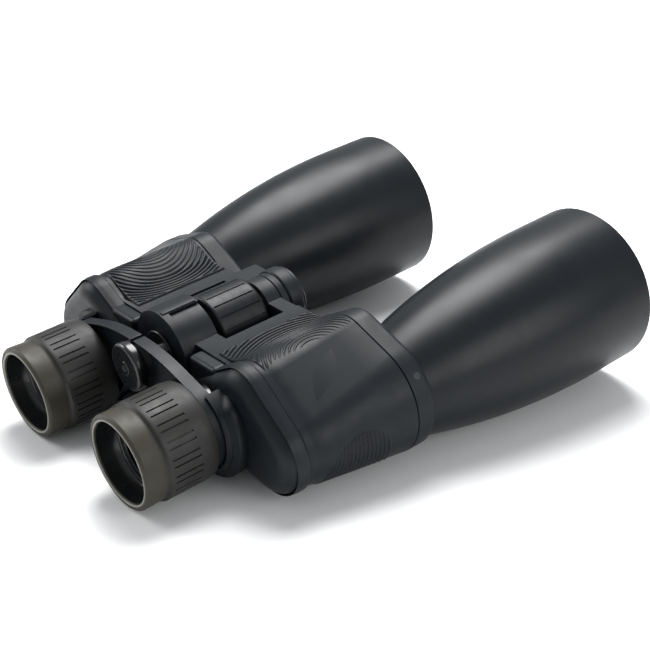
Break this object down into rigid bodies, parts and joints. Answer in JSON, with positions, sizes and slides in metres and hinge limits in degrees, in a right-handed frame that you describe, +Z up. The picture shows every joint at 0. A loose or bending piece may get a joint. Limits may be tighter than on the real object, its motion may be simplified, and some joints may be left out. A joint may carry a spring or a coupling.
{
  "type": "binoculars",
  "caption": "Porro-prism binoculars with a centre focus wheel, a folding hinge, flared objective barrels and stepped eyecups, standing level as laid down.",
  "frame": {"origin": "centre of the footprint, on the surface the instrument lies on", "axes": "+Y from the eyepieces towards the objectives, level; +Z up; +X to the user's right"},
  "size_m": [0.2068, 0.2318, 0.0753],
  "materials": {
    "body_enamel": "black stoved enamel, satin, fine grain",
    "barrel_covering": "black stoved enamel, satin, fine grain",
    "gloss_black_metal": "black anodised, gloss",
    "matt_black_metal": "black anodised, matt",
    "bare_aluminium": "machined",
    "spring_steel": "brushed",
    "nut_brass": "machined",
    "grip_rubber": "matt, ribbed",
    "eyecup_rubber": "satin",
    "wheel_covering": "satin, lugged",
    "objective_glass": "coated, polished",
    "eyepiece_glass": "coated, polished",
    "optical_glass": "polished"
  },
  "bodies": {
    "left_half": {"left_prism_housing": "body_enamel", "left_rear_cover": "body_enamel", "left_front_collar": "body_enamel", "left_objective_barrel": "barrel_covering", "left_objective_cell": "matt_black_metal", "left_crown_lens": "objective_glass", "left_flint_lens": "optical_glass", "left_retaining_ring": "matt_black_metal", "left_prism_shelf": "bare_aluminium", "left_rear_prism": "optical_glass", "left_front_prism": "optical_glass", "left_rear_clip": "spring_steel", "left_front_clip": "spring_steel", "left_top_grip": "grip_rubber", "left_side_grip": "grip_rubber", "left_collar_screw": "gloss_black_metal", "hinge_sleeve": "gloss_black_metal", "hinge_pin": "spring_steel", "rear_thrust_washer": "spring_steel", "nose_washer": "gloss_black_metal"},
    "right_half": {"right_prism_housing": "body_enamel", "right_rear_cover": "body_enamel", "right_front_collar": "body_enamel", "right_objective_barrel": "barrel_covering", "right_objective_cell": "matt_black_metal", "right_crown_lens": "objective_glass", "right_flint_lens": "optical_glass", "right_retaining_ring": "matt_black_metal", "right_prism_shelf": "bare_aluminium", "right_rear_prism": "optical_glass", "right_front_prism": "optical_glass", "right_rear_clip": "spring_steel", "right_front_clip": "spring_steel", "right_top_grip": "grip_rubber", "right_side_grip": "grip_rubber", "right_collar_screw": "gloss_black_metal"},
    "focus_wheel": {"focus_wheel": "wheel_covering", "focus_nut": "nut_brass"},
    "bridge": {"focus_spindle": "spring_steel", "bridge_hub": "gloss_black_metal", "end_cap": "gloss_black_metal", "left_arm": "gloss_black_metal", "left_eyecup": "eyecup_rubber", "left_eyepiece_tube": "gloss_black_metal", "left_lens_cell": "matt_black_metal", "left_eye_lens": "eyepiece_glass", "left_eye_lens_ring": "matt_black_metal", "left_field_lens": "optical_glass"},
    "right_arm": {"right_arm": "gloss_black_metal", "right_eyepiece_tube": "gloss_black_metal"},
    "right_eyecup": {"right_eyecup": "eyecup_rubber"},
    "right_lens_cell": {"right_lens_cell": "matt_black_metal", "right_eye_lens": "eyepiece_glass", "right_eye_lens_ring": "matt_black_metal", "right_field_lens": "optical_glass"}
  },
  "joints": [
    {"name": "interpupillary_hinge", "type": "hinge", "parent": "left_half", "child": "right_half", "pos_m": [0, -0.1154, 0.03421], "axis": [0, 0.9947, 0.1026], "range_deg": [-7, 45]},
    {"name": "focus_turn", "type": "hinge", "parent": "left_half", "child": "focus_wheel", "pos_m": [0, -0.1154, 0.03421], "axis": [0, 0.9947, 0.1026], "range_deg": [-180.1, 135.1]},
    {"name": "bridge_slide", "type": "slide", "parent": "left_half", "child": "bridge", "axis": [0, 0.9947, 0.1026], "range_m": [-0.004, 0.003]},
    {"name": "right_arm_swing", "type": "hinge", "parent": "bridge", "child": "right_arm", "pos_m": [0, -0.1154, 0.03421], "axis": [0, 0.9947, 0.1026], "range_deg": [-7.01, 45.01]},
    {"name": "dioptre_turn", "type": "hinge", "parent": "right_arm", "child": "right_eyecup", "pos_m": [0.03615, -0.11396, 0.02029], "axis": [0, 0.9947, 0.1026], "range_deg": [-90, 90]},
    {"name": "lens_travel", "type": "slide", "parent": "right_arm", "child": "right_lens_cell", "axis": [0, 0.9947, 0.1026], "range_m": [-0.00101, 0.00101]}
  ],
  "couplings": [
    {"joint": "focus_turn", "follows": "bridge_slide", "rad_per_m": 785.4},
    {"joint": "right_arm_swing", "follows": "interpupillary_hinge", "ratio": 1},
    {"joint": "lens_travel", "follows": "dioptre_turn", "m_per_rad": 0.00063662}
  ]
}
